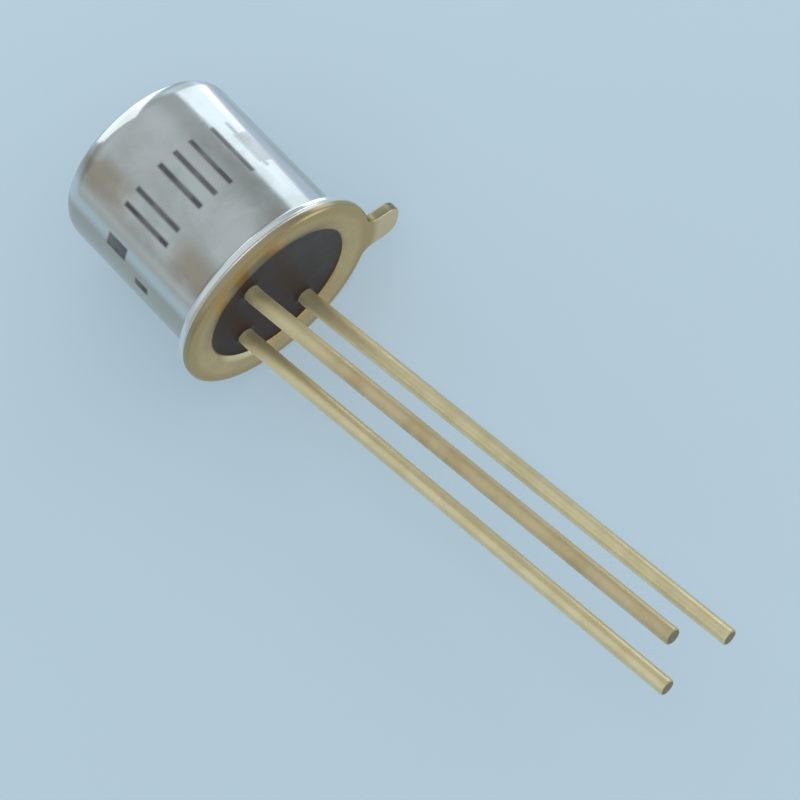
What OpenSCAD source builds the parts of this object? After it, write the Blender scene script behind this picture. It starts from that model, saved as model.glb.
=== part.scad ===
// Small-signal junction field-effect transistor in a three-lead metal can.
// Millimetres. Each sub-part is drawn upright: seating plane at z = 0, can above, leads below,
// tab along +x. lie() then lays the whole on its side, the way it rests on a flat surface:
// lowest point at z = 0, leads towards +x, the middle of the outline over the origin.

/* [Can] */
// Outside diameter of the can's wall
can_d = 4.68; // [4.5:0.02:4.8]
// Top of the can above the seating plane
can_height = 5.14; // [4.4:0.02:5.6]
// Sheet thickness of the can: wall, top and flange
can_wall = 0.17; // [0.12:0.01:0.2]
// Outside radius of the shoulder between wall and top
can_shoulder_r = 0.58; // [0.3:0.02:0.8]
// Outside diameter of the can's turned-out flange
can_flange_d = 5.3; // [5.16:0.02:5.34]
// Outside radius of the bend between wall and flange
can_flare_r = 0.18; // [0.1:0.01:0.2]

/* [Header] */
// Outside diameter of the header's flange
header_d = 5.4; // [5.36:0.02:5.8]
// Thickness of the header's flange and tab
header_t = 0.27; // [0.22:0.01:0.34]
// Rounding of the flange's outer edge
header_edge_r = 0.1; // [0.04:0.01:0.1]
// Clearance all round between the header's barrel and the inside of the can
barrel_gap = 0.06; // [0.03:0.01:0.12]
// Wall thickness of the barrel
barrel_wall = 0.2; // [0.15:0.01:0.24]
// Radius of the barrel's rounded mouth
mouth_r = 0.18; // [0.14:0.01:0.22]
// Top of the platform above the seating plane
platform_z = 1.16; // [1:0.02:1.3]
// Thickness of the platform
platform_t = 0.22; // [0.16:0.01:0.28]
// Rounding between barrel and platform
platform_edge_r = 0.16; // [0.06:0.01:0.2]
// Diameter of the two glass-filled holes in the platform
post_hole_d = 0.94; // [0.84:0.02:1.06]

/* [Tab] */
// Width of the tab
tab_w = 0.98; // [0.92:0.02:1.16]
// How far the tab stands out from the flange's edge
tab_len = 0.9; // [0.72:0.02:1.2]
// Rounding of the tab's two tip corners
tab_tip_r = 0.36; // [0.1:0.02:0.4]
// Fillet where the tab leaves the flange
tab_root_r = 0.3; // [0.1:0.02:0.3]

/* [Glass] */
// Depth of the glass face inside the mouth
glass_recess = 0.12; // [0.08:0.01:0.14]
// Height the glass creeps along each lead
glass_creep = 0.06; // [0.03:0.01:0.06]

/* [Leads] */
// Diameter of the leads
lead_d = 0.41; // [0.4:0.01:0.5]
// Diameter of the circle the leads stand on
lead_circle_d = 2.54; // [2.4:0.02:2.7]
// Length of a lead below the seating plane, measured along it
lead_len = 13.2; // [12.7:0.1:19]
// Height of the two posts above the platform
post_h = 0.46; // [0.3:0.02:0.7]
// Straight stub of a lead below the glass face
stub_len = 0.08; // [0.07:0.01:0.2]
// Radius of a lead's bend, to its centre line
bend_r = 1.4; // [0.8:0.1:3]
// Chamfer on a lead's cut end
cut_chamfer = 0.03; // [0.01:0.01:0.08]
// Bend of the source lead, degrees
source_bend_angle = 8.7; // [4:0.1:12]
// Side the source lead is bent to, degrees from the tab
source_side_angle = -70.5; // [-90:0.5:-50]
// Bend of the drain lead, degrees
drain_bend_angle = 8.2; // [4:0.1:12]
// Side the drain lead is bent to, degrees from the tab
drain_side_angle = -71.5; // [-90:0.5:-50]
// Bend of the gate lead, degrees
gate_bend_angle = 11; // [4:0.1:14]
// Side the gate lead is bent to, degrees from the tab
gate_side_angle = -83.5; // [-100:0.5:-60]

/* [Rest] */
// Direction the part lies on, degrees round from the tab towards the source lead
rest_angle = 57; // [56:1:120]

/* [Die and wires] */
// Side of the square die
die_w = 0.46; // [0.36:0.02:0.6]
// Thickness of the die
die_t = 0.18; // [0.12:0.01:0.25]
// How far the solder shows all round the die
solder_rim = 0.05; // [0.02:0.01:0.08]
// Thickness of the solder under the die
solder_t = 0.03; // [0.02:0.01:0.05]
// Diameter of the bond wires
wire_d = 0.038; // [0.025:0.001:0.05]
// Distance of the two bonds from the middle of the die
bond_out = 0.12; // [0.08:0.01:0.13]
// Diameter of the pressed ends of the bond wires
bond_d = 0.11; // [0.09:0.005:0.13]
// Thickness of the pressed ends of the bond wires
bond_t = 0.032; // [0.028:0.001:0.04]

/* [Hidden] */
$fn = 96;

// clear length a cutting shape runs past what it cuts
past = 0.5;
// hair's breadth by which the lengths of one lead run into each other
join = 0.0001;

half_angle = 180;
quarter_angle = 90;

can_r = can_d / 2;
can_bore_r = can_r - can_wall;
can_flange_r = can_flange_d / 2;
can_edge_r = can_wall / 3;
shoulder_in_r = can_shoulder_r - can_wall;
flare_in_r = can_flare_r + can_wall;
can_flange_top = header_t + can_wall;

header_r = header_d / 2;
rim_r = header_r - header_edge_r;
barrel_r = can_bore_r - barrel_gap;
barrel_bore_r = barrel_r - barrel_wall;
mouth_edge_r = barrel_bore_r + mouth_r;
ceiling_z = platform_z - platform_t;

pin_r = lead_circle_d / 2;
lead_r = lead_d / 2;
post_z = platform_z + post_h;
bend_z = glass_recess - stub_len;

// the pins follow each other by quarter turns, the first one an eighth of a turn from the tab
source_angle = 45;
drain_angle = source_angle + quarter_angle;
gate_angle = drain_angle + quarter_angle;

die_z = platform_z + solder_t + die_t;

// ---- how it rests: on the can's shoulder and the flange's rim ----
shoulder_out = can_r - can_shoulder_r;
shoulder_up = can_height - can_shoulder_r;
rim_up = header_t - header_edge_r;
rim_to_shoulder = [rim_r - shoulder_out, shoulder_up - rim_up];
tilt_angle = atan2(rim_to_shoulder[0], rim_to_shoulder[1])
             + asin((header_edge_r - can_shoulder_r) / norm(rim_to_shoulder));
lift = rim_r * cos(tilt_angle) + rim_up * sin(tilt_angle) + header_edge_r;
turn_angle = half_angle - rest_angle;
tab_end = header_r + tab_len;
tip_out = tab_end - tab_tip_r;
tip_side = tab_w / 2 - tab_tip_r;

function turned(p) = [p[0] * cos(turn_angle) - p[1] * sin(turn_angle),
                      p[0] * sin(turn_angle) + p[1] * cos(turn_angle), p[2]];
function tilted(p) = [-p[0] * sin(tilt_angle) - p[2] * cos(tilt_angle), p[1],
                      p[0] * cos(tilt_angle) - p[2] * sin(tilt_angle)];
function straight_len(bend) = lead_len + bend_z - bend_r * bend * PI / half_angle;
function sideways(bend) = bend_r * (1 - cos(bend)) + straight_len(bend) * sin(bend);
function tip_z(bend) = bend_z - bend_r * sin(bend) - straight_len(bend) * cos(bend);
function tip(at, bend, side) = tilted(turned([pin_r * cos(at) + sideways(bend) * cos(side),
                                              pin_r * sin(at) + sideways(bend) * sin(side), tip_z(bend)]));
tips = [tip(source_angle, source_bend_angle, source_side_angle),
        tip(drain_angle, drain_bend_angle, drain_side_angle),
        tip(gate_angle, gate_bend_angle, gate_side_angle)];
x_low = -shoulder_out * sin(tilt_angle) - shoulder_up * cos(tilt_angle) - can_shoulder_r;
x_high = max([for (t = tips) t[0]]);
y_low = min(-header_r, min([for (t = tips) t[1] - lead_r]));
y_high = max(header_r, tip_out * sin(turn_angle) + tip_side * abs(cos(turn_angle)) + tab_tip_r,
             max([for (t = tips) t[1] + lead_r]));

module lie() {
    translate([-(x_low + x_high) / 2, -(y_low + y_high) / 2, lift])
        rotate([0, -(quarter_angle + tilt_angle), 0])
            rotate([0, 0, turn_angle])
                children();
}

module ring(r_in, r_out, low, high) {
    translate([r_in, low]) square([r_out - r_in, high - low]);
}

module at_pin(at) {
    rotate([0, 0, at]) translate([pin_r, 0, 0]) children();
}

// ---- can: drawn cup with a turned-out flange, one sheet thickness throughout ----
module can_section() {
    bend_x = can_r + can_flare_r;
    bend_y = can_flange_top + can_flare_r;
    // wall
    ring(can_bore_r, can_r, bend_y, shoulder_up);
    // top
    ring(0, shoulder_out, can_height - can_wall, can_height);
    // shoulder
    intersection() {
        translate([shoulder_out, shoulder_up]) square(can_shoulder_r);
        translate([shoulder_out, shoulder_up]) difference() {
            circle(can_shoulder_r);
            circle(shoulder_in_r);
        }
    }
    // bend to the flange
    intersection() {
        translate([can_bore_r, header_t]) square(flare_in_r);
        translate([bend_x, bend_y]) difference() {
            circle(flare_in_r);
            circle(can_flare_r);
        }
    }
    // flange with rounded edge
    ring(bend_x, can_flange_r - can_edge_r, header_t, can_flange_top);
    ring(bend_x, can_flange_r, header_t + can_edge_r, can_flange_top - can_edge_r);
    translate([can_flange_r - can_edge_r, header_t + can_edge_r]) circle(can_edge_r);
    translate([can_flange_r - can_edge_r, can_flange_top - can_edge_r]) circle(can_edge_r);
}

module can() {
    color([0.62, 0.63, 0.62]) lie() rotate_extrude() can_section();
}

// ---- header: flange, barrel and platform pressed from one sheet, with the tab ----
module header_section() {
    // flange with rounded edge
    ring(mouth_edge_r, rim_r, 0, header_t);
    ring(mouth_edge_r, header_r, header_edge_r, header_t - header_edge_r);
    translate([rim_r, header_edge_r]) circle(header_edge_r);
    translate([rim_r, rim_up]) circle(header_edge_r);
    // mouth
    difference() {
        ring(barrel_bore_r, mouth_edge_r, 0, header_t);
        translate([mouth_edge_r, mouth_r]) mirror([1, 0]) difference() {
            translate([0, -mouth_r]) square(mouth_r);
            circle(mouth_r);
        }
    }
    // barrel
    ring(barrel_bore_r, barrel_r, mouth_r, platform_z - platform_edge_r);
    // platform
    ring(0, barrel_r - platform_edge_r, ceiling_z, platform_z);
    intersection() {
        ring(barrel_r - platform_edge_r, barrel_r, platform_z - platform_edge_r, platform_z);
        translate([barrel_r - platform_edge_r, platform_z - platform_edge_r]) circle(platform_edge_r);
    }
    ring(barrel_bore_r - past / 2, barrel_r, ceiling_z, platform_z - platform_edge_r);
}

module tab_outline() {
    start = rim_r - tab_w / 4;
    root_y = tab_w / 2 + tab_root_r;
    root_x = sqrt(pow(rim_r + tab_root_r, 2) - pow(root_y, 2));
    shrink = rim_r / (rim_r + tab_root_r);
    translate([start, -tab_w / 2]) square([tip_out - start, tab_w]);
    translate([start, -tip_side]) square([tab_end - start, 2 * tip_side]);
    for (s = [-1, 1]) {
        translate([tip_out, s * tip_side]) circle(tab_tip_r);
        difference() {
            polygon([[start, s * tab_w / 2], [root_x, s * tab_w / 2], [root_x, s * root_y],
                     [root_x * shrink, s * root_y * shrink]]);
            translate([root_x, s * root_y]) circle(tab_root_r);
        }
    }
}

module header() {
    color([0.62, 0.56, 0.42]) lie() difference() {
        union() {
            rotate_extrude() header_section();
            linear_extrude(header_t) tab_outline();
        }
        for (at = [source_angle, drain_angle])
            at_pin(at) translate([0, 0, ceiling_z - past / 2])
                cylinder(h = platform_t + past, d = post_hole_d);
    }
}

// ---- leads ----
module lead(at, top, bend, side) {
    run = straight_len(bend);
    at_pin(at) {
        translate([0, 0, bend_z]) cylinder(h = top - bend_z, r = lead_r);
        rotate([0, 0, side - at]) translate([0, 0, bend_z]) {
            translate([bend_r, 0, 0]) rotate([-quarter_angle, 0, half_angle])
                rotate_extrude(angle = bend) translate([bend_r, 0]) circle(lead_r);
            translate([bend_r * (1 - cos(bend)), 0, -bend_r * sin(bend)]) rotate([0, -bend, 0]) {
                translate([0, 0, cut_chamfer - run]) cylinder(h = run - cut_chamfer + join, r = lead_r);
                translate([0, 0, -run]) cylinder(h = cut_chamfer, r1 = lead_r - cut_chamfer, r2 = lead_r);
            }
        }
    }
}

module source_body() { lead(source_angle, post_z, source_bend_angle, source_side_angle); }
module drain_body() { lead(drain_angle, post_z, drain_bend_angle, drain_side_angle); }
module gate_body() { lead(gate_angle, ceiling_z, gate_bend_angle, gate_side_angle); }

module source_lead() { color([0.72, 0.64, 0.42]) lie() source_body(); }
module drain_lead() { color([0.72, 0.64, 0.42]) lie() drain_body(); }
module gate_lead() { color([0.72, 0.64, 0.42]) lie() gate_body(); }

// ---- glass: fills the barrel under the platform and the two holes through it ----
module glass_section() {
    difference() {
        ring(0, mouth_edge_r, glass_recess, mouth_r);
        translate([mouth_edge_r, mouth_r]) circle(mouth_r);
    }
    ring(0, barrel_bore_r, mouth_r, ceiling_z);
}

module creep_section() {
    difference() {
        translate([0, -glass_creep]) square([lead_r + glass_creep, glass_creep]);
        translate([lead_r + glass_creep, -glass_creep]) circle(glass_creep);
    }
}

module glass() {
    color([0.16, 0.15, 0.15]) lie() difference() {
        union() {
            rotate_extrude() glass_section();
            for (at = [source_angle, drain_angle])
                at_pin(at) translate([0, 0, (ceiling_z + glass_recess) / 2])
                    cylinder(h = platform_z - (ceiling_z + glass_recess) / 2, d = post_hole_d);
            for (at = [source_angle, drain_angle, gate_angle])
                at_pin(at) translate([0, 0, glass_recess]) rotate_extrude() creep_section();
        }
        for (at = [source_angle, drain_angle])
            at_pin(at) translate([0, 0, -past]) cylinder(h = post_z + 2 * past, r = lead_r);
        at_pin(gate_angle) translate([0, 0, -past]) cylinder(h = ceiling_z + 2 * past, r = lead_r);
    }
}

// ---- die, its solder and the bond wires ----
module die() {
    color([0.3, 0.31, 0.34]) lie()
        translate([-die_w / 2, -die_w / 2, platform_z + solder_t]) cube([die_w, die_w, die_t]);
}

module die_solder() {
    side = die_w + 2 * solder_rim;
    color([0.75, 0.68, 0.45]) lie()
        translate([-side / 2, -side / 2, platform_z]) cube([side, side, solder_t]);
}

module bond_end() {
    rotate_extrude() {
        square([bond_d / 2 - bond_t / 2, bond_t]);
        intersection() {
            translate([bond_d / 2 - bond_t / 2, bond_t / 2]) circle(bond_t / 2);
            translate([bond_d / 2 - bond_t / 2, 0]) square([bond_t / 2, bond_t]);
        }
    }
}

// wire from the die's bond on the pin's side, up in one arc and down to the post's top
module bond_wire(at) {
    rise = post_z - die_z;
    reach = pin_r - bond_out;
    loop_r = (reach * reach + rise * rise) / (2 * reach);
    sweep = half_angle - atan2(rise, reach - loop_r);
    rotate([0, 0, at]) {
        translate([bond_out, 0, die_z]) bond_end();
        translate([pin_r, 0, post_z]) bond_end();
        translate([bond_out + loop_r, 0, die_z + bond_t / 2]) rotate([quarter_angle, 0, 0])
            rotate([0, 0, half_angle - sweep])
                rotate_extrude(angle = sweep) translate([loop_r, 0]) circle(wire_d / 2);
    }
}

module source_wire() { color([0.85, 0.8, 0.65]) lie() bond_wire(source_angle); }
module drain_wire() { color([0.85, 0.8, 0.65]) lie() bond_wire(drain_angle); }

can();
header();
glass();
source_lead();
drain_lead();
gate_lead();
die();
die_solder();
source_wire();
drain_wire();
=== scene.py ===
"""Looks of a small metal-can transistor lying on its side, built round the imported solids.

Sizes are in millimetres in the package frame, where the seating plane is z = 0, the can stands above
it, the leads hang below and the tab points along +x. LAY puts that frame where the solids lie. Angles
are in degrees, and those in the package frame are counted round from the tab.
"""
import math

import bmesh
import bpy
import numpy as np
from mathutils import Euler, Matrix, Vector


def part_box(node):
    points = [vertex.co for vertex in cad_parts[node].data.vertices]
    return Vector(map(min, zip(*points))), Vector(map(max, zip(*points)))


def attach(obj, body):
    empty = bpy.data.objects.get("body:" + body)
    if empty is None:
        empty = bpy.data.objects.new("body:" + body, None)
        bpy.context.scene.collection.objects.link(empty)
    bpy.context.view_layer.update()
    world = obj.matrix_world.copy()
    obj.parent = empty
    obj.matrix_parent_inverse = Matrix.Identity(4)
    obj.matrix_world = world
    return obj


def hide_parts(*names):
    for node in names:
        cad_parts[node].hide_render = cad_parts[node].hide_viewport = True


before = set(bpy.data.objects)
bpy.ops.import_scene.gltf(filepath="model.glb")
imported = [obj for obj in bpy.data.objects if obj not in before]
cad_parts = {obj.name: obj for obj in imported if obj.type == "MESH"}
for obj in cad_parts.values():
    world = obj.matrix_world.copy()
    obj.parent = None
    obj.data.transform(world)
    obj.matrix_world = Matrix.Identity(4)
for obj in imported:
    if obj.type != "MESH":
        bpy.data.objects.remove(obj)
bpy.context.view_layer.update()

MM = 0.001
UP = Vector((0, 0, 1))
SHARP_ANGLE = 35.0

# ---- can ----
CAN_R = 2.34
CAN_HEIGHT = 5.14
CAN_WALL = 0.17
CAN_SHOULDER_R = 0.58
CAN_FLANGE_R = 2.65
CAN_FLARE_R = 0.18
CAN_BORE_R = CAN_R - CAN_WALL
CAN_EDGE_R = CAN_WALL / 3
CAN_SIDES = 288

# ---- header and tab ----
HEADER_R = 2.7
HEADER_T = 0.27
HEADER_EDGE_R = 0.1
BARREL_GAP = 0.06
BARREL_WALL = 0.2
MOUTH_R = 0.18
PLATFORM_Z = 1.16
PLATFORM_T = 0.22
PLATFORM_EDGE_R = 0.16
POST_HOLE_R = 0.47
TAB_W = 0.98
TAB_LEN = 0.9
TAB_TIP_R = 0.36
TAB_ROOT_R = 0.3
TAB_EDGE_R = 0.045
BARREL_R = CAN_BORE_R - BARREL_GAP
BORE_R = BARREL_R - BARREL_WALL
MOUTH_EDGE_R = BORE_R + MOUTH_R
CEILING_Z = PLATFORM_Z - PLATFORM_T
RIM_R = HEADER_R - HEADER_EDGE_R

# ---- glass: its face lies a little inside the mouth, and climbs the leads and the mouth's wall ----
GLASS_RECESS = 0.12
GLASS_CREEP = 0.06
GLASS_CREEP_REACH = 0.05
GLASS_RISE = 0.025
GLASS_RISE_REACH = 0.07
GLASS_SIDES = 240
GLASS_ROUNDS = 64
GLASS_SHARP_ANGLE = 40.0

# ---- leads: where each stands, how far it bends and which way ----
LEAD_R = 0.205
PIN_R = 1.27
LEAD_LEN = 13.2
POST_Z = PLATFORM_Z + 0.46
BEND_R = 1.4
BEND_Z = GLASS_RECESS - 0.08
CUT_CHAMFER = 0.03
SOURCE_ANGLE = 45.0
SOURCE_BEND = 8.7
SOURCE_SIDE = -70.5
DRAIN_ANGLE = 135.0
DRAIN_BEND = 8.2
DRAIN_SIDE = -71.5
GATE_ANGLE = 225.0
GATE_BEND = 11.0
GATE_SIDE = -83.5
LEAD_SIDES = 48

# ---- how it lies: on the flange's edge and the can's shoulder ----
REST_ANGLE = 57.0
SHOULDER_OUT = CAN_R - CAN_SHOULDER_R
SHOULDER_UP = CAN_HEIGHT - CAN_SHOULDER_R
RIM_UP = HEADER_T - HEADER_EDGE_R
REACH = math.hypot(RIM_R - SHOULDER_OUT, SHOULDER_UP - RIM_UP)
TILT = (math.atan2(RIM_R - SHOULDER_OUT, SHOULDER_UP - RIM_UP)
        + math.asin((HEADER_EDGE_R - CAN_SHOULDER_R) / REACH))
LIFT = RIM_R * math.cos(TILT) + RIM_UP * math.sin(TILT) + HEADER_EDGE_R
TURN = math.pi - math.radians(REST_ANGLE)
TOP_REACH = SHOULDER_OUT * math.sin(TILT) + SHOULDER_UP * math.cos(TILT) + CAN_SHOULDER_R
SHIFT = Vector((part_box("can")[0].x + TOP_REACH * MM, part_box("header")[0].y + HEADER_R * MM, LIFT * MM))
LAY = (Matrix.Translation(SHIFT)
       @ Matrix.Rotation(-(math.pi / 2 + TILT), 4, "Y")
       @ Matrix.Rotation(TURN, 4, "Z"))

# ---- camera: place in mm and turn in degrees, in the frame of the solids ----
CAMERA_AT = (22.6718, 9.8607, 87.3172)
CAMERA_TURN = (6.0407, 15.2263, 45.2346)
CAMERA_LENS = 176.698
CAMERA_SENSOR = 36
CAMERA_CLIP = (0.005, 10)


def make_camera():
    data = bpy.data.cameras.new("camera")
    data.lens = CAMERA_LENS
    data.sensor_width = CAMERA_SENSOR
    data.clip_start, data.clip_end = CAMERA_CLIP
    camera = bpy.data.objects.new("camera", data)
    bpy.context.scene.collection.objects.link(camera)
    camera.location = Vector(CAMERA_AT) * MM
    camera.rotation_euler = Euler([math.radians(a) for a in CAMERA_TURN])
    bpy.context.scene.camera = camera


# ---- mesh helpers ----
def arc(centre, radius, start, end, steps):
    """Points on an arc in a section plane, from start to end degrees, both ends included."""
    angles = [math.radians(start + (end - start) * i / steps) for i in range(steps + 1)]
    return [(centre[0] + radius * math.cos(a), centre[1] + radius * math.sin(a)) for a in angles]


def line(start, end, steps):
    """Points on a straight from start to end, the last one left out."""
    return [(start[0] + (end[0] - start[0]) * i / steps, start[1] + (end[1] - start[1]) * i / steps)
            for i in range(steps)]


def without_repeats(points, least=1e-6):
    kept = [points[0]]
    for p in points[1:]:
        if math.dist(p, kept[-1]) > least:
            kept.append(p)
    return kept


def level_circle(radius, z, sides, x=0.0, y=0.0):
    """Points round a level circle, from its +x side on."""
    turns = [2 * math.pi * i / sides for i in range(sides)]
    return [(x + radius * math.cos(a), y + radius * math.sin(a), z) for a in turns]


def pin_xy(angle):
    """Where the lead at that angle round from the tab goes through the glass."""
    return PIN_R * math.cos(math.radians(angle)), PIN_R * math.sin(math.radians(angle))


def face_outwards(mesh):
    bm = bmesh.new()
    bm.from_mesh(mesh)
    bmesh.ops.recalc_face_normals(bm, faces=bm.faces)
    bm.to_mesh(mesh)
    bm.free()


class Shell:
    """Collects loops of points in the package frame and joins them into one surface."""

    def __init__(self):
        self.points = []
        self.faces = []
        self.slots = []

    def loop(self, points):
        start = len(self.points)
        self.points += [tuple(p) for p in points]
        return list(range(start, len(self.points)))

    def face(self, corners, slot=0):
        self.faces.append(tuple(corners))
        self.slots.append(slot)

    def skin(self, a, b):
        for i in range(len(a)):
            j = (i + 1) % len(a)
            self.face((a[i], a[j], b[j], b[i]))

    def cap(self, ring, centre, slot=0):
        middle = self.loop([centre])[0]
        for i in range(len(ring)):
            self.face((ring[i], ring[(i + 1) % len(ring)], middle), slot)

    def close(self, rings, first, last, last_slot=0):
        """Joins the rings in turn and closes both ends, each to a middle point."""
        for a, b in zip(rings, rings[1:]):
            self.skin(a, b)
        self.cap(rings[0], first)
        self.cap(rings[-1], last, last_slot)

    def build(self, name, materials):
        mesh = bpy.data.meshes.new(name)
        mesh.from_pydata([Vector(p) * MM for p in self.points], [], self.faces)
        for material in materials:
            mesh.materials.append(material)
        mesh.polygons.foreach_set("material_index", self.slots)
        mesh.polygons.foreach_set("use_smooth", [True] * len(mesh.polygons))
        mesh.update()
        piece = bpy.data.objects.new(name, mesh)
        bpy.context.scene.collection.objects.link(piece)
        face_outwards(mesh)
        mesh.set_sharp_from_angle(angle=math.radians(SHARP_ANGLE))
        return piece


def rod(x, y, low, high, radius, sides=96):
    """A plain round solid that only cuts or fills."""
    shell = Shell()
    rings = [shell.loop(level_circle(radius, z, sides, x, y)) for z in (low, high)]
    shell.close(rings, (x, y, low), (x, y, high))
    return shell.build("rod", [])


def combine(piece, operation, tools, sharp=SHARP_ANGLE):
    """Adds the tools' solids to the piece or takes them away, and removes the tools."""
    for tool in tools:
        step = piece.modifiers.new("combine", "BOOLEAN")
        step.operation = operation
        step.solver = "EXACT"
        step.object = tool
    graph = bpy.context.evaluated_depsgraph_get()
    mesh = bpy.data.meshes.new_from_object(piece.evaluated_get(graph))
    piece.modifiers.clear()
    piece.data = mesh
    for tool in tools:
        bpy.data.objects.remove(tool)
    mesh.set_sharp_from_angle(angle=math.radians(sharp))


def lay_down(piece):
    """Keeps each point's place in the package frame, in mm, for the materials, and lays the piece down."""
    mesh = piece.data
    co = np.zeros(len(mesh.vertices) * 3, np.float32)
    mesh.vertices.foreach_get("co", co)
    stored = mesh.attributes.new("place", "FLOAT_VECTOR", "POINT")
    stored.data.foreach_set("vector", co / MM)
    mesh.transform(LAY)
    mesh.update()


# ---- pieces ----
def can_section():
    """The can's sheet from the middle of its top, down outside and back up inside."""
    bend = (CAN_R + CAN_FLARE_R, HEADER_T + CAN_WALL + CAN_FLARE_R)
    shoulder = (SHOULDER_OUT, SHOULDER_UP)
    edge_r = CAN_FLANGE_R - CAN_EDGE_R
    points = line((0, CAN_HEIGHT), (SHOULDER_OUT, CAN_HEIGHT), 6)
    points += arc(shoulder, CAN_SHOULDER_R, 90, 0, 20)
    points += line((CAN_R, SHOULDER_UP), (CAN_R, bend[1]), 14)
    points += arc(bend, CAN_FLARE_R, 180, 270, 12)
    points += arc((edge_r, HEADER_T + CAN_WALL - CAN_EDGE_R), CAN_EDGE_R, 90, 0, 6)
    points += arc((edge_r, HEADER_T + CAN_EDGE_R), CAN_EDGE_R, 0, -90, 6)
    points += arc(bend, CAN_FLARE_R + CAN_WALL, 270, 180, 12)
    points += line((CAN_BORE_R, bend[1]), (CAN_BORE_R, SHOULDER_UP), 6)
    points += arc(shoulder, CAN_SHOULDER_R - CAN_WALL, 0, 90, 12)
    points += [(0, CAN_HEIGHT - CAN_WALL)]
    return without_repeats(points)


def make_can(plating):
    """A closed shell turned from a section whose first and last points are on the axis."""
    section = can_section()
    shell = Shell()
    rings = [shell.loop(level_circle(r, z, CAN_SIDES)) for r, z in section[1:-1]]
    shell.close(rings, (0, 0, section[0][1]), (0, 0, section[-1][1]))
    return shell.build("can_shell", [plating])


def header_outline():
    """The header's outline: each point, its outward normal and how far it is onto the tab."""
    end_steps, tip_steps, side_steps, root_steps, round_steps = 4, 14, 8, 12, 150
    root_y = TAB_W / 2 + TAB_ROOT_R
    root_x = math.sqrt((HEADER_R + TAB_ROOT_R) ** 2 - root_y ** 2)
    root_turn = math.atan2(root_y, root_x)
    tip_x = HEADER_R + TAB_LEN - TAB_TIP_R
    tip_y = TAB_W / 2 - TAB_TIP_R
    half = []
    # from the middle of the tab's end, round the tip, along the side and into the flange
    for i in range(end_steps):
        half.append(((tip_x + TAB_TIP_R, tip_y * i / end_steps), (1, 0), 1))
    for i in range(tip_steps + 1):
        a = math.pi / 2 * i / tip_steps
        u, v = math.cos(a), math.sin(a)
        half.append(((tip_x + TAB_TIP_R * u, tip_y + TAB_TIP_R * v), (u, v), 1))
    for i in range(1, side_steps):
        half.append(((tip_x + (root_x - tip_x) * i / side_steps, TAB_W / 2), (0, 1), 1))
    sweep = math.pi / 2 - root_turn
    for i in range(root_steps + 1):
        a = -math.pi / 2 - sweep * i / root_steps
        u, v = math.cos(a), math.sin(a)
        half.append(((root_x + TAB_ROOT_R * u, root_y + TAB_ROOT_R * v), (-u, -v), 1 - i / root_steps))
    for i in range(1, round_steps):
        a = root_turn + (math.pi - root_turn) * i / round_steps
        u, v = math.cos(a), math.sin(a)
        half.append(((HEADER_R * u, HEADER_R * v), (u, v), 0))
    back = [((-HEADER_R, 0), (-1, 0), 0)]
    other = [((x, -y), (u, -v), on_tab) for (x, y), (u, v), on_tab in reversed(half[1:])]
    return half + back + other


def make_header(plating):
    outline = header_outline()
    turns = [math.atan2(p[1], p[0]) for p, _, _ in outline]
    shell = Shell()
    rings = []

    def edge(base, inward, up):
        """A loop set in from the outline; inward and up are shares of the local edge radius."""
        points = []
        for (x, y), (u, v), on_tab in outline:
            e = HEADER_EDGE_R + (TAB_EDGE_R - HEADER_EDGE_R) * on_tab
            points.append((x - u * e * inward, y - v * e * inward, base + e * up))
        rings.append(shell.loop(points))

    def circle(r, z):
        rings.append(shell.loop([(r * math.cos(a), r * math.sin(a), z) for a in turns]))

    edge_steps, barrel_steps = 8, 6
    inner_r, middle_r = 0.6, 1.2
    # inside of the barrel, from the ceiling down to the rounded mouth
    for r in (inner_r, middle_r, BORE_R):
        circle(r, CEILING_Z)
    for i in range(1, barrel_steps):
        circle(BORE_R, CEILING_Z + (MOUTH_R - CEILING_Z) * i / barrel_steps)
    for r, z in arc((MOUTH_EDGE_R, MOUTH_R), MOUTH_R, 180, 270, 12):
        circle(r, z)
    # seating ring and the rounded outer edge
    circle((MOUTH_EDGE_R + RIM_R) / 2, 0)
    quarter = [math.pi / 2 * i / edge_steps for i in range(edge_steps + 1)]
    for a in quarter:
        edge(0, 1 - math.sin(a), 1 - math.cos(a))
    for a in quarter:
        edge(HEADER_T, 1 - math.cos(a), math.sin(a) - 1)
    # top of the flange, barrel and platform
    circle(BARREL_R, HEADER_T)
    round_z = PLATFORM_Z - PLATFORM_EDGE_R
    for r, z in arc((BARREL_R - PLATFORM_EDGE_R, round_z), PLATFORM_EDGE_R, 0, 90, 8):
        circle(r, z)
    circle(inner_r, PLATFORM_Z)
    shell.close(rings, (0, 0, CEILING_Z), (0, 0, PLATFORM_Z))
    header = shell.build("header_plated", [plating])
    past = 0.2
    holes = [rod(*pin_xy(a), CEILING_Z - past, PLATFORM_Z + past, POST_HOLE_R)
             for a in (SOURCE_ANGLE, DRAIN_ANGLE)]
    combine(header, "DIFFERENCE", holes)
    return header


def glass_level(x, y, edge_r):
    """Height of the glass face: it climbs the leads and the wall a little and sags between them."""
    level = GLASS_RECESS
    for angle in (SOURCE_ANGLE, DRAIN_ANGLE, GATE_ANGLE):
        px, py = pin_xy(angle)
        off = max(0.0, math.hypot(x - px, y - py) - LEAD_R)
        level -= GLASS_CREEP * math.exp(-off / GLASS_CREEP_REACH)
    wall = max(0.0, edge_r - math.hypot(x, y))
    return level - GLASS_RISE * math.exp(-wall / GLASS_RISE_REACH)


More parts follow.
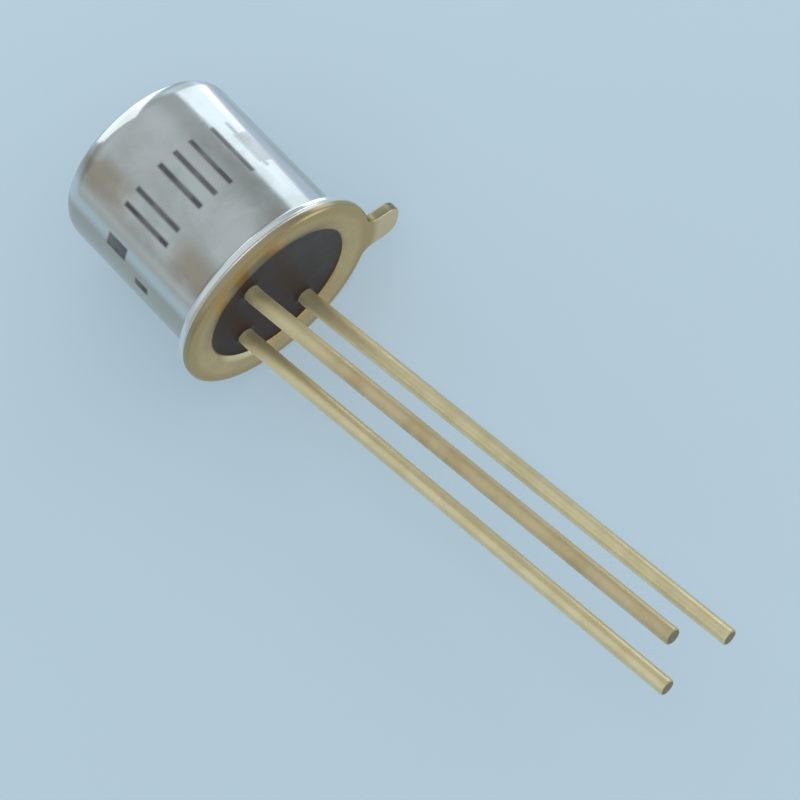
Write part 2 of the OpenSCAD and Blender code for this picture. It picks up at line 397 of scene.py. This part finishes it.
def make_glass(glass):
    shell = Shell()
    edge_z = GLASS_RECESS - GLASS_RISE
    edge_r = MOUTH_EDGE_R - math.sqrt(MOUTH_R ** 2 - (MOUTH_R - edge_z) ** 2)
    rings = []
    for k in range(1, GLASS_ROUNDS + 1):
        circle = level_circle(edge_r * k / GLASS_ROUNDS, 0, GLASS_SIDES)
        rings.append(shell.loop([(x, y, glass_level(x, y, edge_r)) for x, y, _ in circle]))
    down = math.degrees(math.asin((MOUTH_R - edge_z) / MOUTH_R))
    wall = arc((MOUTH_EDGE_R, MOUTH_R), MOUTH_R, 180 + down, 180, 6)[1:]
    for r, z in wall + [(BORE_R, CEILING_Z), (BORE_R / 2, CEILING_Z)]:
        rings.append(shell.loop(level_circle(r, z, GLASS_SIDES)))
    shell.close(rings, (0, 0, glass_level(0, 0, edge_r)), (0, 0, CEILING_Z))
    body = shell.build("glass_seal", [glass])
    fills = [rod(*pin_xy(angle), CEILING_Z / 2, PLATFORM_Z, POST_HOLE_R)
             for angle in (SOURCE_ANGLE, DRAIN_ANGLE)]
    combine(body, "UNION", fills)
    below, over_post, over_gate = -0.5, 2.0, CEILING_Z + 0.3
    ends = ((SOURCE_ANGLE, over_post), (DRAIN_ANGLE, over_post), (GATE_ANGLE, over_gate))
    pins = [rod(*pin_xy(angle), below, top, LEAD_R) for angle, top in ends]
    combine(body, "DIFFERENCE", pins, sharp=GLASS_SHARP_ANGLE)
    return body


def lead_path(top, bend):
    """A lead's middle line: distance out, height, turn in radians and radius at each stop."""
    post_steps, bend_steps, run_steps, chamfer_steps = 8, 12, 120, 4
    bend_a = math.radians(bend)
    path = [(0, top + (BEND_Z - top) * i / post_steps, 0, LEAD_R) for i in range(post_steps + 1)]
    for i in range(1, bend_steps + 1):
        a = bend_a * i / bend_steps
        path.append((BEND_R * (1 - math.cos(a)), BEND_Z - BEND_R * math.sin(a), a, LEAD_R))
    start_out, start_z = path[-1][:2]

    def along(s, radius):
        path.append((start_out + s * math.sin(bend_a), start_z - s * math.cos(bend_a), bend_a, radius))

    run = LEAD_LEN + BEND_Z - BEND_R * bend_a - CUT_CHAMFER
    for i in range(1, run_steps + 1):
        along(run * i / run_steps, LEAD_R)
    for i in range(1, chamfer_steps + 1):
        a = math.pi / 2 * i / chamfer_steps
        along(run + CUT_CHAMFER * math.sin(a), LEAD_R - CUT_CHAMFER * (1 - math.cos(a)))
    return path


def make_lead(name, at, top, bend, side, materials):
    """One round lead: straight through the glass, one bend below it and a straight run to the cut end.

    Each point keeps how far it faces the side painted with shade, for the material."""
    x0, y0 = pin_xy(at)
    out = Vector((math.cos(math.radians(side)), math.sin(math.radians(side)), 0))
    across = UP.cross(out)
    turns = [2 * math.pi * i / LEAD_SIDES for i in range(LEAD_SIDES)]
    shell = Shell()
    rings = []
    turned = []
    for off, z, a, r in lead_path(top, bend):
        centre = Vector((x0, y0, z)) + out * off
        normal = out * math.cos(a) + UP * math.sin(a)
        spokes = [normal * math.cos(t) + across * math.sin(t) for t in turns]
        rings.append(shell.loop([centre + spoke * r for spoke in spokes]))
        turned += [spoke.dot(SHADE_SIDE_WAY) for spoke in spokes]
    # the last centre is the middle of the cut end, which has the second material
    shell.close(rings, (x0, y0, top), centre, last_slot=1)
    turned += [0.0] * (len(shell.points) - len(turned))
    lead = shell.build(name, materials)
    lead.data.attributes.new("turned", "FLOAT", "POINT").data.foreach_set("value", turned)
    return lead


# ---- materials ----
class Nodes:
    """A material's node tree, with short calls for what the materials share."""

    def __init__(self, name):
        self.material = bpy.data.materials.new(name)
        self.material.use_nodes = True
        self.tree = self.material.node_tree
        self.shader = self.tree.nodes["Principled BSDF"]

    def add(self, kind, **settings):
        node = self.tree.nodes.new(kind)
        for key, value in settings.items():
            setattr(node, key, value)
        return node

    def put(self, value, target):
        """Gives a socket a link, a colour or a number."""
        if isinstance(value, tuple):
            target.default_value = (*value, 1.0)
        elif isinstance(value, (int, float)):
            target.default_value = value
        else:
            self.tree.links.new(value, target)

    def attribute(self, name, output):
        return self.add("ShaderNodeAttribute", attribute_name=name).outputs[output]

    def place(self):
        return self.attribute("place", "Vector")

    def world_mm(self):
        scaled = self.add("ShaderNodeVectorMath", operation="SCALE")
        scaled.inputs["Scale"].default_value = 1 / MM
        self.put(self.add("ShaderNodeTexCoord").outputs["Object"], scaled.inputs[0])
        return scaled.outputs["Vector"]

    def stretch(self, vector, scale):
        node = self.add("ShaderNodeVectorMath", operation="MULTIPLY")
        self.put(vector, node.inputs[0])
        node.inputs[1].default_value = scale
        return node.outputs["Vector"]

    def split(self, vector):
        node = self.add("ShaderNodeSeparateXYZ")
        self.put(vector, node.inputs[0])
        return node.outputs["X"], node.outputs["Y"], node.outputs["Z"]

    def noise(self, vector, scale, detail, rough, distort=0.0):
        node = self.add("ShaderNodeTexNoise")
        self.put(vector, node.inputs["Vector"])
        node.inputs["Scale"].default_value = scale
        node.inputs["Detail"].default_value = detail
        node.inputs["Roughness"].default_value = rough
        node.inputs["Distortion"].default_value = distort
        return node.outputs["Fac"]

    def math(self, operation, a, b=0.0, clamp=False):
        node = self.add("ShaderNodeMath", operation=operation, use_clamp=clamp)
        self.put(a, node.inputs[0])
        self.put(b, node.inputs[1])
        return node.outputs["Value"]

    def times(self, first, *others):
        for factor in others:
            first = self.math("MULTIPLY", first, factor)
        return first

    def plus(self, first, *others):
        for term in others:
            first = self.math("ADD", first, term)
        return first

    def off(self, value, middle):
        """How far a value is from a middle, on either side."""
        return self.math("ABSOLUTE", self.math("SUBTRACT", value, middle))

    def towards(self, x, y, way):
        """How far a point lies from the axis in one direction of the package frame."""
        return self.plus(self.times(x, way[0]), self.times(y, way[1]))

    def radius(self, x, y):
        return self.math("SQRT", self.plus(self.times(x, x), self.times(y, y)))

    def turn(self, x, y):
        """Radians round from the tab, from 0 up to a whole turn."""
        return self.math("MODULO", self.plus(self.math("ARCTAN2", y, x), 2 * math.pi), 2 * math.pi)

    def ramp(self, value, low, high, out_low=0.0, out_high=1.0):
        node = self.add("ShaderNodeMapRange", interpolation_type="SMOOTHSTEP")
        self.put(value, node.inputs["Value"])
        ends = (("From Min", low), ("From Max", high), ("To Min", out_low), ("To Max", out_high))
        for key, number in ends:
            node.inputs[key].default_value = number
        return node.outputs["Result"]

    def fade(self, value, low, high, share=1.0):
        """The share up to low, and nothing from high on."""
        return self.ramp(value, low, high, share, 0.0)

    def band(self, turn, middle, even, whole, share=1.0):
        """A band along the can: its middle in degrees, half its even and its whole width in radians."""
        return self.fade(self.off(turn, math.radians(middle)), even, whole, share)

    def mix(self, share, a, b):
        node = self.add("ShaderNodeMix", data_type="RGBA")
        for socket, value in (("Factor", share), ("A", a), ("B", b)):
            self.put(value, node.inputs[socket])
        return node.outputs["Result"]

    def lay_over(self, colour, layers):
        """Lays colours over a first one in turn, each by its share."""
        for share, layer in layers:
            colour = self.mix(share, colour, layer)
        return colour

    def bump(self, height, strength, distance):
        node = self.add("ShaderNodeBump")
        node.inputs["Strength"].default_value = strength
        node.inputs["Distance"].default_value = distance * MM
        self.put(height, node.inputs["Height"])
        return node.outputs["Normal"]

    def finish(self, colour, roughness, normal=None, **others):
        self.put(colour, self.shader.inputs["Base Color"])
        self.put(roughness, self.shader.inputs["Roughness"])
        if normal is not None:
            self.put(normal, self.shader.inputs["Normal"])
        for key, value in others.items():
            self.put(value, self.shader.inputs[key.replace("_", " ")])
        return self.material


# colours of the can, of its tarnish and ink, and of the light and shade painted on it
NICKEL = (0.62, 0.635, 0.615)
NICKEL_DULL = (0.52, 0.53, 0.50)
NICKEL_PAINTED_HIGHLIGHT = (0.74, 0.76, 0.74)
NICKEL_PAINTED_REFLECTION = (0.82, 0.76, 0.78)
NICKEL_SHADE = (0.50, 0.45, 0.37)
TARNISH = (0.42, 0.36, 0.29)
WELD_PAINTED_HIGHLIGHT = (0.90, 0.91, 0.88)
INK = (0.045, 0.045, 0.05)

# colours of the plating on the header, and of the light and shade painted on it
GOLD_RING = (0.77, 0.535, 0.265)
GOLD_RING_DULL = (0.70, 0.485, 0.235)
GOLD_RING_TINT = (1.0, 0.95, 0.88)
GOLD_RIM = (0.59, 0.40, 0.18)
GOLD_TAB = (0.83, 0.62, 0.37)
GOLD_TAB_SIDE_PAINTED_SHADE = (0.30, 0.26, 0.17)
GOLD_SIDE_PAINTED_SHADE = (0.42, 0.34, 0.20)
GOLD_LIT = (1.0, 0.81, 0.47)
GOLD_PAINTED_SHADE = (0.36, 0.24, 0.11)
GOLD_PAINTED_DEEP_SHADE = (0.13, 0.085, 0.04)
GOLD_SHADED = (0.22, 0.15, 0.08)

# colours of the plating on the leads, and of the light and shade painted on them
GOLD_LEAD = (0.95, 0.81, 0.50)
GOLD_LEAD_DULL = (0.84, 0.70, 0.41)
COPPERY = (0.79, 0.63, 0.37)
COPPERY_DULL = (0.67, 0.51, 0.28)
GOLD_ROOT_PAINTED_LIGHT = (1.0, 0.88, 0.56)
LEAD_PAINTED_SHADE = (0.62, 0.46, 0.24)
CUT_CORE = (0.22, 0.16, 0.10)

# colours of the glass, of the light painted on it, and of the pieces inside
GLASS = (0.040, 0.019, 0.014)
GLASS_CLOUDY = (0.053, 0.031, 0.027)
GLASS_PAINTED_LIGHT = (0.072, 0.064, 0.058)
GLASS_BUBBLE = (0.06, 0.054, 0.05)
GLASS_TINT = (1.0, 0.84, 0.70)
SILICON = (0.10, 0.11, 0.14)
SILICON_PALER = (0.16, 0.17, 0.20)
BOND_GOLD = (0.85, 0.68, 0.34)
BOND_GOLD_DULL = (0.70, 0.55, 0.28)

# plain bars of worn ink on the can's wall: middle in degrees round from the tab, width in mm,
# lowest and highest point in mm above the seating plane, how much of it is left
BARS = (
    (190.5, 0.40, 2.75, 3.40, 1.0),
    (179.0, 0.24, 1.90, 2.35, 1.0),
    (217.5, 0.14, 1.90, 3.38, 1.0),
    (228.5, 0.14, 1.90, 3.38, 0.95),
    (246.5, 0.15, 1.90, 3.38, 1.0),
    (257.5, 0.15, 1.90, 3.38, 0.95),
    (268.5, 0.15, 1.90, 3.38, 1.0),
    (284.0, 0.14, 1.90, 3.38, 0.85),
    (296.0, 0.12, 1.90, 3.38, 0.35),
    (298.5, 0.46, 2.05, 3.00, 0.28),
)
BAR_SOFTNESS = 0.045
INK_COVER = 0.97

# places of the can's stains and of the light and shade painted on it, in degrees round from the tab
STAIN_AT = 218
FOOT_TINT_AT = 270
PAINTED_SHADE_FROM = (math.radians(140), math.radians(160))
PAINTED_SHADE_TO = (math.radians(183), math.radians(199))
PAINTED_HIGHLIGHT_AT = 197
PAINTED_REFLECTION_AT = 307.5
UPPER_PAINTED_HIGHLIGHT_AT = 272

# heights and radii between which tints come in or fade
STAIN_MIDDLE_Z = 2.5
FOOT_TINT_Z = (0.7, 1.1)
UPPER_PAINTED_HIGHLIGHT_Z = (3.0, 4.1)
CAN_TINTS_R = (1.5, 2.15)
FLANGE_HIGHLIGHT_R = (CAN_R + 0.12, CAN_FLANGE_R - 0.04)
RING_SHADE_R = (2.36, 2.60)
RING_RIM_R = (2.32, RIM_R - 0.05)
RING_HIGHLIGHT_Z = (0.17, 0.23)
LEAD_ROOT_Z = (-3.6, -0.6)

# directions in the package frame: the near side of the mouth, painted with shade; the part of the ring
# that the can shades, painted with shade; the part of the mouth that is lit, painted with a highlight; the
# side of the glass painted lighter; the side of a lead painted with shade
NEAR_WAY = (-0.42, -0.91)
SHADED_WAY = (-0.469, -0.883)
LIT_WAY = (-0.485, 0.875)
GLASS_LIT_WAY = (0.77, -0.64)
SHADE_SIDE_WAY = Vector((0.876, -0.471, 0.099))


def ink_share(n, turn, z):
    """1 where a whole bar of ink covers the wall, less where the bar is fainter."""
    along = n.times(turn, CAN_R)
    total = None
    for at, width, low, high, left in BARS:
        shares = []
        for off, half in ((n.off(along, math.radians(at) * CAN_R), width / 2),
                          (n.off(z, (low + high) / 2), (high - low) / 2)):
            shares.append(n.fade(off, half - BAR_SOFTNESS, half + BAR_SOFTNESS))
        bar = n.times(*shares, left)
        total = bar if total is None else n.math("MAXIMUM", total, bar)
    return total


def nickel():
    """The can: satin, brown stains, a darker foot, painted highlights, reflection and shade in bands, a
    painted highlight by the weld, ink bars.
    """
    n = Nodes("nickel_satin")
    place = n.place()
    x, y, z = n.split(place)
    r = n.radius(x, y)
    turn = n.turn(x, y)
    cloud = n.noise(place, 0.9, detail=4, rough=0.6, distort=0.4)
    fine = n.noise(place, 9.0, detail=4, rough=0.6)
    lines = n.noise(n.stretch(place, (1.0, 1.0, 0.05)), 34.0, detail=3, rough=0.6)
    rings = n.noise(n.stretch(place, (0.12, 0.12, 1.6)), 26.0, detail=2, rough=0.5)
    speckle = n.noise(place, 16.0, detail=2, rough=0.5)
    wear = n.noise(place, 1.6, detail=2, rough=0.5)
    colour = n.mix(n.ramp(cloud, 0.35, 0.7), NICKEL, NICKEL_DULL)

    # the stains and the bands of painted light and shade would meet in a star on the can's top, so they
    # end at its shoulder
    wall = n.ramp(r, *CAN_TINTS_R)
    stain_ends = n.ramp(n.off(z, STAIN_MIDDLE_Z), 0.5, 1.3)
    stain = n.times(n.band(turn, STAIN_AT, 0.05, 0.30), stain_ends, n.ramp(cloud, 0.3, 0.6, 0.4, 1.0))
    # darker brown low on the wall by the flange, in a band at 270 degrees
    foot_tint = n.times(n.band(turn, FOOT_TINT_AT, 0.08, 0.32), n.fade(z, *FOOT_TINT_Z, 0.35))
    # painted shade: a darker, warmer band on the wall from about 140 to 199 degrees
    painted_shade = n.times(n.fade(turn, *PAINTED_SHADE_TO, 0.8), n.ramp(turn, *PAINTED_SHADE_FROM))
    # painted highlight: a lighter band on the wall at 197 degrees
    painted_highlight = n.band(turn, PAINTED_HIGHLIGHT_AT, 0.07, 0.20, 0.8)
    # painted reflection: a pale lavender band on the wall at 307.5 degrees
    painted_reflection = n.band(turn, PAINTED_REFLECTION_AT, 0.05, 0.16, 0.9)
    # painted highlight: lighter high on the wall at 272 degrees
    upper_painted_highlight = n.times(n.band(turn, UPPER_PAINTED_HIGHLIGHT_AT, 0.08, 0.36, 0.75), n.ramp(z, *UPPER_PAINTED_HIGHLIGHT_Z))
    tints = ((stain, TARNISH), (foot_tint, TARNISH), (painted_shade, NICKEL_SHADE), (painted_highlight, NICKEL_PAINTED_HIGHLIGHT),
             (painted_reflection, NICKEL_PAINTED_REFLECTION), (upper_painted_highlight, NICKEL_PAINTED_HIGHLIGHT))
    colour = n.lay_over(colour, [(n.times(share, wall), tint) for share, tint in tints])

    specks = n.times(n.ramp(speckle, 0.70, 0.78), 0.2)
    # painted highlight: the flange's outer part near white, by the weld
    weld_highlight = n.ramp(r, *FLANGE_HIGHLIGHT_R, 0.0, 0.9)
    ink = n.times(ink_share(n, turn, z), n.ramp(wear, 0.3, 0.6, 0.82, 1.0))
    cover = n.times(ink, INK_COVER)
    colour = n.lay_over(colour, ((specks, TARNISH), (weld_highlight, WELD_PAINTED_HIGHLIGHT), (cover, INK)))
    rough = n.plus(n.ramp(fine, 0.3, 0.7, 0.12, 0.17), n.times(cloud, 0.06))
    rough = n.math("ADD", rough, n.times(ink, 0.3), clamp=True)
    height = n.plus(n.times(lines, 0.6), n.times(rings, 0.5), n.times(fine, 0.6))
    return n.finish(colour, rough, n.bump(height, 0.05, 0.012), Metallic=n.math("SUBTRACT", 1.0, cover))


def start_gold(name, bright, dull):
    """What plated pieces share: a cloudy colour, fine grain, and the height of grain and drawn lines."""
    n = Nodes(name)
    place = n.place()
    cloud = n.noise(place, 1.3, detail=4, rough=0.6, distort=0.3)
    fine = n.noise(place, 6.0, detail=3, rough=0.5)
    drawn = n.noise(n.stretch(place, (1.0, 1.0, 0.06)), 22.0, detail=3, rough=0.6)
    colour = n.mix(n.ramp(cloud, 0.35, 0.68), bright, dull)
    return n, colour, fine, n.plus(n.times(drawn, 0.8), n.times(fine, 0.5))


def gold_ring():
    """The header: painted shade by the near mouth, its sides and where the can shades it; painted
    highlight on the lit mouth; darker rim.
    """
    n, colour, fine, height = start_gold("gold_ring", GOLD_RING, GOLD_RING_DULL)
    x, y, z = n.split(n.place())
    r = n.radius(x, y)
    near = n.towards(x, y, NEAR_WAY)
    # painted shade: brown round the near side of the mouth, darkest at its edge
    mouth_shade = n.times(n.fade(r, BORE_R, MOUTH_EDGE_R + 0.5), n.ramp(near, -0.2, 1.9))
    deep_shade = n.times(n.fade(r, BORE_R + 0.06, MOUTH_EDGE_R + 0.12), n.ramp(near, 0.9, 1.7))
    shaded = n.ramp(n.math("DIVIDE", n.towards(x, y, SHADED_WAY), r), 0.92, 0.985, 0.0, 0.7)
    shaded = n.times(shaded, n.fade(r, *RING_SHADE_R))
    lit = n.ramp(n.math("DIVIDE", n.towards(x, y, LIT_WAY), r), 0.86, 0.98)
    lit = n.times(lit, n.fade(r, BORE_R + 0.06, MOUTH_EDGE_R))
    rim = n.ramp(r, *RING_RIM_R)
    # painted shade: the outer side of the header darker
    side = n.times(n.ramp(r, RIM_R + 0.03, RIM_R + 0.08), n.ramp(z, 0.015, 0.05), 0.8)
    tab = n.ramp(r, HEADER_R + 0.05, HEADER_R + 0.3)
    # painted shade: the tab's sides darker
    tab_side_shade = n.times(n.ramp(z, 0.01, 0.04), n.fade(z, HEADER_T - 0.04, HEADER_T - 0.01))
    # painted highlight: near white by the weld, a little way over the side next to the can
    weld_highlight = n.times(n.ramp(z, *RING_HIGHLIGHT_Z), n.fade(r, HEADER_R + 0.04, HEADER_R + 0.1),
                   n.ramp(r, RIM_R - 0.05, RIM_R), 0.8)
    colour = n.lay_over(colour, (
        (mouth_shade, GOLD_PAINTED_SHADE), (deep_shade, GOLD_PAINTED_DEEP_SHADE), (shaded, GOLD_SHADED), (lit, GOLD_LIT), (rim, GOLD_RIM),
        (side, GOLD_SIDE_PAINTED_SHADE), (tab, n.mix(tab_side_shade, GOLD_TAB, GOLD_TAB_SIDE_PAINTED_SHADE)), (weld_highlight, WELD_PAINTED_HIGHLIGHT)))
    return n.finish(colour, n.ramp(fine, 0.3, 0.7, 0.27, 0.31), n.bump(height, 0.006, 0.01),
                    Metallic=1.0, Specular_Tint=GOLD_RING_TINT)


def gold_lead(name, bright, dull, rough, bump):
    """A lead: rougher and painted paler towards the glass, and painted with brown shade on one side."""
    n, colour, fine, height = start_gold(name, bright, dull)
    _, _, z = n.split(n.place())
    # paler near the glass: on the worn lead the gold left there, on every lead also painted light
    root = n.ramp(z, *LEAD_ROOT_Z)
    # painted shade: browner on one side of each lead
    shade_share = n.ramp(n.attribute("turned", "Fac"), -0.2, 0.8, 0.0, 0.45)
    colour = n.lay_over(colour, ((root, GOLD_ROOT_PAINTED_LIGHT), (shade_share, LEAD_PAINTED_SHADE)))
    roughness = n.plus(n.ramp(fine, 0.3, 0.7, *rough), n.times(root, 0.2))
    return n.finish(colour, roughness, n.bump(height, bump, 0.01), Metallic=1.0)


def cut_metal():
    """The leads' cut ends."""
    n = Nodes("cut_end")
    tears = n.noise(n.place(), 28.0, detail=4, rough=0.7)
    colour = n.mix(n.times(tears, 0.6), CUT_CORE, COPPERY_DULL)
    return n.finish(colour, n.ramp(tears, 0.3, 0.7, 0.35, 0.55), n.bump(tears, 0.5, 0.02), Metallic=1.0)


def dark_glass():
    """The seal: cloudy, with small bubbles, and painted lighter towards one side."""
    n = Nodes("dark_glass")
    place = n.place()
    x, y, _ = n.split(place)
    cloud = n.noise(place, 1.6, detail=4, rough=0.6, distort=0.5)
    bubbles = n.add("ShaderNodeTexVoronoi", feature="F1")
    bubbles.inputs["Scale"].default_value = 7.0
    n.put(place, bubbles.inputs["Vector"])
    dot = n.fade(bubbles.outputs["Distance"], 0.03, 0.12)
    # painted light: the glass lighter towards one side
    lit_side = n.ramp(n.towards(x, y, GLASS_LIT_WAY), -0.3, 2.0)
    colour = n.lay_over(GLASS, ((n.ramp(cloud, 0.35, 0.7), GLASS_CLOUDY), (lit_side, GLASS_PAINTED_LIGHT),
                                (n.times(dot, 0.4), GLASS_BUBBLE)))
    height = n.plus(cloud, n.times(dot, 0.2))
    return n.finish(colour, n.ramp(cloud, 0.3, 0.7, 0.38, 0.52), n.bump(height, 0.25, 0.02),
                    IOR=1.3, Specular_Tint=GLASS_TINT)


def plain_metal(name, bright, dull, rough, metallic=1.0):
    """For the small inner pieces, which keep their own solids."""
    n = Nodes(name)
    place = n.world_mm()
    cloud = n.noise(place, 6.0, detail=4, rough=0.6)
    colour = n.mix(n.ramp(cloud, 0.3, 0.7), bright, dull)
    fine = n.noise(place, 20.0, detail=3, rough=0.55)
    roughness = n.ramp(fine, 0.3, 0.7, rough - 0.05, rough + 0.07)
    return n.finish(colour, roughness, n.bump(cloud, 0.15, 0.01), Metallic=metallic)


# ---- stage and light ----
FLOOR_HALF = 1500
FLOOR_COLOUR = (0.485, 0.612, 0.705)
FLOOR_DARKER = tuple(c * 0.985 for c in FLOOR_COLOUR)
FLOOR_PAINTED_LIGHT = (0.525, 0.66, 0.75)
FLOOR_ROUGHNESS = 0.9
FLOOR_STEADY = 0.5
ROOM_LOW = (0.41, 0.45, 0.47)
ROOM_HIGH = (0.60, 0.67, 0.715)
ROOM_RISE = (0.22, 0.75)
CARD_COLOUR = (0.88, 0.925, 0.985)

# low white cards that stand on the floor just outside the picture, and are only mirrored in the
# metal: name, radiance, middle x and y, width, height, height of its foot, the way it faces in
# degrees round from +X. They make the strip along the can, the line on its shoulder and the glint
# on its flange.
CARDS = (
    ("far_card", 0.93, (-8.05, 6.3), 6.15, 3.75, 0.12, -45.6),
    ("shoulder_card", 0.29, (-10.75, 3.65), 1.4, 3.7, 0.0, -45.6),
    ("top_card", 1.06, (-14.6, 0.15), 7.0, 7.5, 0.0, -45.6),
    ("right_card", 0.88, (2.7, 14.2), 12.0, 8.0, 0.0, -120),
)


def make_floor():
    n = Nodes("floor_matt")
    place = n.world_mm()
    x, y, _ = n.split(place)
    grain = n.ramp(n.noise(place, 0.05, detail=3, rough=0.5), 0.3, 0.7)
    # painted light: the floor paler towards -x and +y
    painted_light = n.times(n.ramp(n.math("SUBTRACT", y, x), 2.0, 22.0), 0.5)
    colour = n.lay_over(FLOOR_COLOUR, ((grain, FLOOR_DARKER), (painted_light, FLOOR_PAINTED_LIGHT)))
    n.finish(colour, FLOOR_ROUGHNESS)
    # half of the floor's level is steady for camera and mirror rays, so its shadows stay faint
    rays = n.add("ShaderNodeLightPath").outputs
    seen = n.math("MAXIMUM", rays["Is Camera Ray"], rays["Is Glossy Ray"])
    seen = n.math("MAXIMUM", seen, rays["Is Transmission Ray"])
    steady = n.add("ShaderNodeEmission")
    n.put(colour, steady.inputs["Color"])
    both = n.add("ShaderNodeMixShader")
    n.put(n.times(seen, FLOOR_STEADY), both.inputs["Fac"])
    n.put(n.shader.outputs["BSDF"], both.inputs[1])
    n.put(steady.outputs["Emission"], both.inputs[2])
    n.put(both.outputs["Shader"], n.tree.nodes["Material Output"].inputs["Surface"])
    shell = Shell()
    h = FLOOR_HALF
    shell.face(shell.loop([(-h, -h, 0), (h, -h, 0), (h, h, 0), (-h, h, 0)]))
    floor = shell.build("floor", [n.material])
    top = floor.data.polygons[0]
    if top.normal.z < 0:
        top.flip()


def area_light(name, radiance, size, at, aim, colour=(1, 1, 1), diffuse=True, glossy=True):
    """A plain soft panel, in metres; radiance is the level its mirror image would show."""
    data = bpy.data.lights.new(name, "AREA")
    data.energy = radiance * math.pi * size[0] * size[1]
    data.shape = "RECTANGLE"
    data.size, data.size_y = size
    data.color = colour
    lamp = bpy.data.objects.new(name, data)
    bpy.context.scene.collection.objects.link(lamp)
    lamp.location = at
    lamp.rotation_euler = (Vector(aim) - Vector(at)).to_track_quat("-Z", "Y").to_euler()
    lamp.visible_camera = False
    lamp.visible_diffuse = diffuse
    lamp.visible_glossy = glossy


def make_card(name, radiance, middle, wide, high, foot, faces):
    at = Vector((*middle, foot + high / 2)) * MM
    way = Vector((math.cos(math.radians(faces)), math.sin(math.radians(faces)), 0))
    size = (wide * MM, high * MM)
    area_light(name, radiance, size, at, at + way, CARD_COLOUR, diffuse=False)


def make_room():
    """An even world that is a little lighter overhead."""
    world = bpy.data.worlds.new("soft_room")
    world.use_nodes = True
    nodes, links = world.node_tree.nodes, world.node_tree.links
    ways = nodes.new("ShaderNodeTexCoord")
    parts = nodes.new("ShaderNodeSeparateXYZ")
    rise = nodes.new("ShaderNodeMapRange")
    rise.interpolation_type = "SMOOTHSTEP"
    rise.inputs["From Min"].default_value, rise.inputs["From Max"].default_value = ROOM_RISE
    mix = nodes.new("ShaderNodeMix")
    mix.data_type = "RGBA"
    mix.inputs["A"].default_value = (*ROOM_LOW, 1)
    mix.inputs["B"].default_value = (*ROOM_HIGH, 1)
    back = nodes["Background"]
    back.inputs["Strength"].default_value = 1.0
    links.new(ways.outputs["Generated"], parts.inputs[0])
    links.new(parts.outputs["Z"], rise.inputs["Value"])
    links.new(rise.outputs["Result"], mix.inputs["Factor"])
    links.new(mix.outputs["Result"], back.inputs["Color"])
    bpy.context.scene.world = world
    bpy.context.scene.view_settings.view_transform = "Standard"


def make_light():
    make_room()
    # broad soft light from above, not mirrored in the metal
    area_light("overhead", 1.1, size=(1.0, 1.0), at=(0.05, 0.4, 0.62), aim=(0, 0, 0), glossy=False)
    for card in CARDS:
        make_card(*card)
    # a dim window on the near side lifts the flange's edge
    area_light("near_window", 0.08, size=(0.16, 0.2), at=(-0.14, -0.26, 0.14), aim=(0, 0, 0.003),
               diffuse=False)


# ---- the part ----
def dress(piece, node):
    lay_down(piece)
    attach(piece, "root")
    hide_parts(node)


def paint_node(name, material):
    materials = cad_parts[name].data.materials
    materials.clear()
    materials.append(material)


def build():
    make_camera()
    bright = gold_lead("gold_lead", GOLD_LEAD, GOLD_LEAD_DULL, rough=(0.34, 0.42), bump=0.03)
    coppery = gold_lead("gold_lead_worn", COPPERY, COPPERY_DULL, rough=(0.38, 0.48), bump=0.06)
    cut = cut_metal()
    dress(make_can(nickel()), "can")
    dress(make_header(gold_ring()), "header")
    dress(make_glass(dark_glass()), "glass")
    dress(make_lead("source_wire_lead", SOURCE_ANGLE, POST_Z, SOURCE_BEND, SOURCE_SIDE, [bright, cut]),
          "source_lead")
    dress(make_lead("drain_wire_lead", DRAIN_ANGLE, POST_Z, DRAIN_BEND, DRAIN_SIDE, [bright, cut]),
          "drain_lead")
    dress(make_lead("gate_wire_lead", GATE_ANGLE, CEILING_Z, GATE_BEND, GATE_SIDE, [coppery, cut]),
          "gate_lead")
    paint_node("die", plain_metal("silicon", SILICON, SILICON_PALER, rough=0.2, metallic=0.6))
    bond_gold = plain_metal("bond_gold", BOND_GOLD, BOND_GOLD_DULL, rough=0.3)
    for name in ("die_solder", "source_wire", "drain_wire"):
        paint_node(name, bond_gold)
    make_floor()
    make_light()


build()
